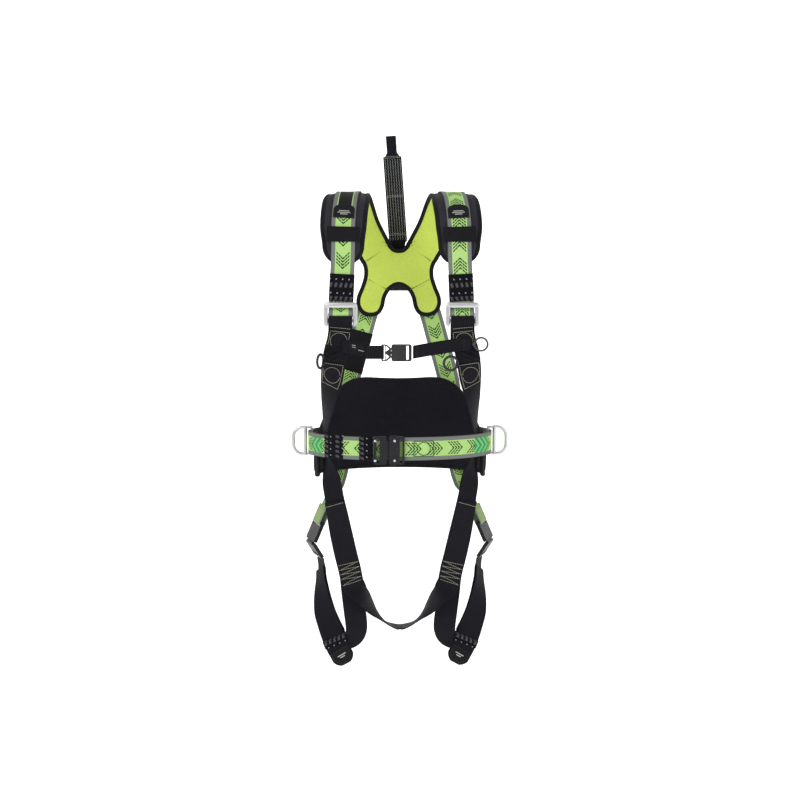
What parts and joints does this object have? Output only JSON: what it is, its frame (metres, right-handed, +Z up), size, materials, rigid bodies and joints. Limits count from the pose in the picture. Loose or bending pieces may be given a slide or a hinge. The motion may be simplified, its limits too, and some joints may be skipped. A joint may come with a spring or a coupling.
{
  "type": "full body climbing harness with work positioning belt",
  "caption": "Full body work harness with padded shoulders and back, waist belt with side D rings, chest strap, quick buckles and leg loops.",
  "frame": {"origin": "middle of the dorsal ring bar at the wearer's upper back, where the harness hangs", "axes": "+Z is up along the wearer's back and +Y points out of the wearer's back, so the chest faces -Y. +X points to the right as the part is seen from its front, which is the wearer's left side; left and right in names are as seen from the front"},
  "size_m": [0.4336, 0.2984, 1.0638],
  "materials": {
    "padding_fabric": "matte",
    "mesh_padding": "matte",
    "lime_webbing": "satin",
    "black_webbing": "satin",
    "label_fabric": "matte",
    "printed_fabric": "matte",
    "khaki_thread": "matte",
    "olive_webbing": "matte",
    "silver_steel": "satin",
    "black_plastic": "matte",
    "grey_plastic": "satin",
    "buckle_steel": "satin",
    "tab_steel": "satin",
    "rivet_steel": "gloss"
  },
  "bodies": {
    "harness": {"back_pad": "mesh_padding", "left_shoulder_pad": "padding_fabric", "right_shoulder_pad": "padding_fabric", "left_main_strap": "lime_webbing", "right_main_strap": "lime_webbing", "left_pad_band": "black_webbing", "right_pad_band": "black_webbing", "left_shoulder_label": "label_fabric", "right_shoulder_label": "label_fabric", "left_adjuster_frame": "silver_steel", "right_adjuster_frame": "silver_steel", "left_front_strap": "black_webbing", "right_front_strap": "black_webbing", "left_stitch_patches": "khaki_thread", "right_stitch_patches": "khaki_thread", "left_loop_gather": "olive_webbing", "right_loop_gather": "olive_webbing", "left_chest_strap": "black_webbing", "right_chest_strap": "black_webbing", "chest_socket": "black_plastic", "dorsal_plate": "black_plastic", "back_strap_sleeve": "black_webbing", "waist_pad": "padding_fabric", "waist_belt": "lime_webbing", "waist_socket": "buckle_steel", "waist_socket_rivets": "rivet_steel", "outer_belt_keeper": "printed_fabric", "inner_belt_keeper": "printed_fabric", "left_leg_tongue": "buckle_steel", "right_leg_tongue": "buckle_steel", "left_leg_tail": "black_webbing", "right_leg_tail": "black_webbing", "left_leg_keeper": "printed_fabric", "right_leg_keeper": "printed_fabric", "seat_strap": "black_webbing"},
    "left_keeper_body": {"left_keeper": "printed_fabric"},
    "right_keeper_body": {"right_keeper": "printed_fabric"},
    "left_adjuster_slider": {"left_adjuster_bar": "silver_steel"},
    "right_adjuster_slider": {"right_adjuster_bar": "silver_steel"},
    "left_eye": {"left_front_eye": "silver_steel"},
    "right_eye": {"right_front_eye": "silver_steel"},
    "chest_release_half": {"chest_plug": "black_plastic", "chest_plug_loop": "black_webbing"},
    "chest_parking_ring": {"chest_ring": "grey_plastic"},
    "dorsal_ring_body": {"dorsal_ring": "silver_steel"},
    "extension": {"extension_strap": "black_webbing"},
    "left_d_ring": {"left_side_ring": "silver_steel"},
    "right_d_ring": {"right_side_ring": "silver_steel"},
    "waist_release_half": {"waist_tongue": "buckle_steel", "waist_tongue_rivets": "rivet_steel"},
    "waist_upper_button": {"waist_upper_tab": "tab_steel"},
    "waist_lower_button": {"waist_lower_tab": "tab_steel"},
    "left_leg_release_half": {"left_leg_socket": "buckle_steel", "left_leg_loop": "black_webbing"},
    "right_leg_release_half": {"right_leg_socket": "buckle_steel", "right_leg_loop": "black_webbing"},
    "left_leg_front_button": {"left_leg_front_tab": "tab_steel"},
    "left_leg_rear_button": {"left_leg_rear_tab": "tab_steel"},
    "right_leg_front_button": {"right_leg_front_tab": "tab_steel"},
    "right_leg_rear_button": {"right_leg_rear_tab": "tab_steel"}
  },
  "joints": [
    {"name": "left_keeper_slide", "type": "slide", "parent": "harness", "child": "left_keeper_body", "axis": [0.0499, 0, 0.9988], "range_m": [-0.001, 0.006]},
    {"name": "right_keeper_slide", "type": "slide", "parent": "harness", "child": "right_keeper_body", "axis": [-0.0499, 0, 0.9988], "range_m": [-0.001, 0.006]},
    {"name": "left_adjuster_slide", "type": "slide", "parent": "harness", "child": "left_adjuster_slider", "axis": [0, 0, 1], "range_m": [0, 0.0012]},
    {"name": "right_adjuster_slide", "type": "slide", "parent": "harness", "child": "right_adjuster_slider", "axis": [0, 0, 1], "range_m": [0, 0.0012]},
    {"name": "left_eye_hinge", "type": "hinge", "parent": "harness", "child": "left_eye", "pos_m": [-0.146, -0.2635, -0.18], "axis": [0, 0, 1], "range_deg": [-15, 35]},
    {"name": "right_eye_hinge", "type": "hinge", "parent": "harness", "child": "right_eye", "pos_m": [0.107, -0.2626, -0.185], "axis": [0, 0, 1], "range_deg": [-10, 60]},
    {"name": "chest_release", "type": "slide", "parent": "harness", "child": "chest_release_half", "axis": [-1, 0, 0], "range_m": [0, 0.025]},
    {"name": "parking_ring_hinge", "type": "hinge", "parent": "harness", "child": "chest_parking_ring", "pos_m": [0.133, -0.2636, -0.149], "axis": [0, 0, 1], "range_deg": [-35, 5]},
    {"name": "dorsal_ring_hinge", "type": "hinge", "parent": "harness", "child": "dorsal_ring_body", "pos_m": [0, 0.0006, 0], "axis": [-1, 0, 0], "range_deg": [0, 75]},
    {"name": "extension_hinge", "type": "hinge", "parent": "dorsal_ring_body", "child": "extension", "pos_m": [0, 0.0006, 0.04], "axis": [-1, 0, 0], "range_deg": [-20, 60]},
    {"name": "left_d_ring_hinge", "type": "hinge", "parent": "harness", "child": "left_d_ring", "pos_m": [-0.1832, -0.136, -0.348], "axis": [0, 0, 1], "range_deg": [-30, 30]},
    {"name": "right_d_ring_hinge", "type": "hinge", "parent": "harness", "child": "right_d_ring", "pos_m": [0.1832, -0.136, -0.348], "axis": [0, 0, 1], "range_deg": [-30, 30]},
    {"name": "waist_release", "type": "slide", "parent": "harness", "child": "waist_release_half", "axis": [-1, 0, 0], "range_m": [0, 0.02]},
    {"name": "waist_upper_press", "type": "slide", "parent": "harness", "child": "waist_upper_button", "axis": [0, 0, -1], "range_m": [0, 0.002], "stiffness_N_per_m": 800},
    {"name": "waist_lower_press", "type": "slide", "parent": "harness", "child": "waist_lower_button", "axis": [0, 0, 1], "range_m": [0, 0.002], "stiffness_N_per_m": 800},
    {"name": "left_leg_release", "type": "slide", "parent": "harness", "child": "left_leg_release_half", "axis": [0.3879, 0.141, 0.9108], "range_m": [0, 0.018]},
    {"name": "left_leg_rear_press", "type": "slide", "parent": "left_leg_release_half", "child": "left_leg_rear_button", "axis": [0.3419, -0.9397, 0], "range_m": [0, 0.002], "stiffness_N_per_m": 800},
    {"name": "left_leg_front_press", "type": "slide", "parent": "left_leg_release_half", "child": "left_leg_front_button", "axis": [-0.3419, 0.9397, 0], "range_m": [0, 0.002], "stiffness_N_per_m": 800},
    {"name": "right_leg_release", "type": "slide", "parent": "harness", "child": "right_leg_release_half", "axis": [-0.3879, 0.141, 0.9108], "range_m": [0, 0.018]},
    {"name": "right_leg_rear_press", "type": "slide", "parent": "right_leg_release_half", "child": "right_leg_rear_button", "axis": [-0.3419, -0.9397, 0], "range_m": [0, 0.002], "stiffness_N_per_m": 800},
    {"name": "right_leg_front_press", "type": "slide", "parent": "right_leg_release_half", "child": "right_leg_front_button", "axis": [0.3419, 0.9397, 0], "range_m": [0, 0.002], "stiffness_N_per_m": 800}
  ]
}
